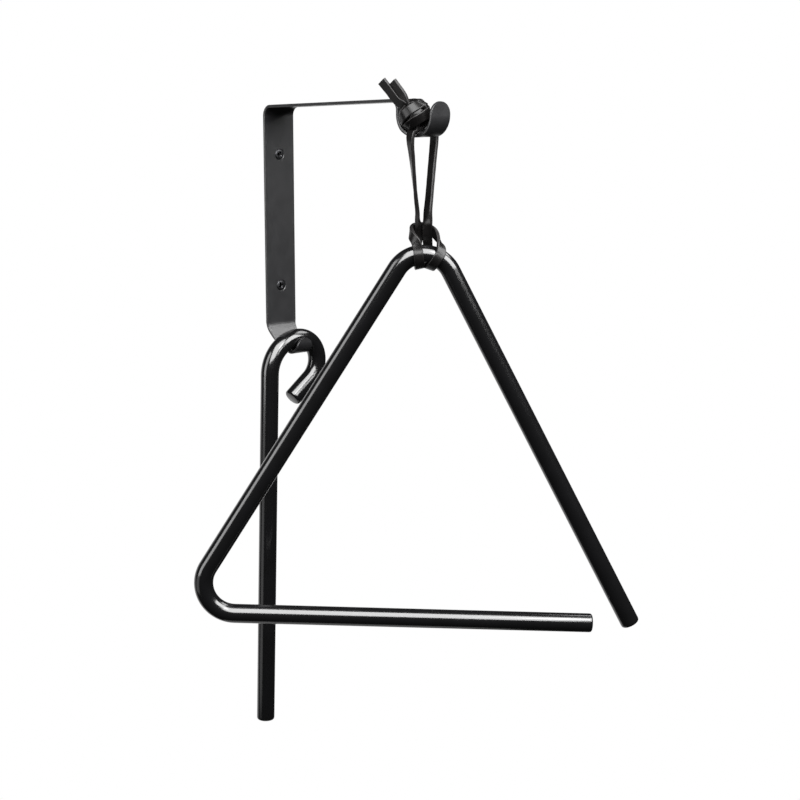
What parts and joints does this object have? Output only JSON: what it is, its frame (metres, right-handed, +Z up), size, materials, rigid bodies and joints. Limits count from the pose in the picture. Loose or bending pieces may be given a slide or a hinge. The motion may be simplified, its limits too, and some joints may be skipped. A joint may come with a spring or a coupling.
{
  "type": "triangle dinner bell",
  "caption": "Triangle dinner bell of bent round bar, hung by a knotted leather lace from a wall bracket whose lower hook holds the crooked striker.",
  "frame": {"origin": "on the wall, midway between the two wall screws, at the back face of the bracket's plate", "axes": "+X along the wall to the right as seen by the viewer, +Y into the wall, +Z up"},
  "size_m": [0.2429, 0.2676, 0.4692],
  "materials": {
    "coated_strap": "satin black coating on flat steel bar",
    "coated_rod": "semi-gloss black coating on round steel bar",
    "screw_steel": "black coated steel screw",
    "lace_leather": "black leather lace with a soft sheen"
  },
  "bodies": {
    "bracket": {"wall_bracket": "coated_strap", "wall_screw_upper": "screw_steel", "wall_screw_lower": "screw_steel"},
    "lace": {"lace_knot": "lace_leather", "lace_strand_left": "lace_leather", "lace_strand_right": "lace_leather"},
    "hitch": {"lace_hitch": "lace_leather"},
    "bell": {"triangle": "coated_rod"},
    "beater": {"striker": "coated_rod"}
  },
  "joints": [
    {"name": "bell_swing", "type": "hinge", "parent": "bracket", "child": "lace", "pos_m": [0, -0.1582, 0.07871], "axis": [-1, 0, 0], "range_deg": [-5, 30]},
    {"name": "bell_swivel", "type": "hinge", "parent": "lace", "child": "hitch", "pos_m": [0, -0.1558, 0.0106], "axis": [0, 0, 1], "range_deg": [-7, 76], "stiffness_Nm_per_rad": 0.035},
    {"name": "bell_rock", "type": "hinge", "parent": "hitch", "child": "bell", "pos_m": [-0.00148, -0.15774, -0.0327], "axis": [-0.6157, -0.788, 0], "range_deg": [-12, 12]},
    {"name": "striker_swing", "type": "hinge", "parent": "bracket", "child": "beater", "pos_m": [0, -0.02074, -0.08573], "axis": [-1, 0, 0], "range_deg": [-2.5, 14]}
  ]
}
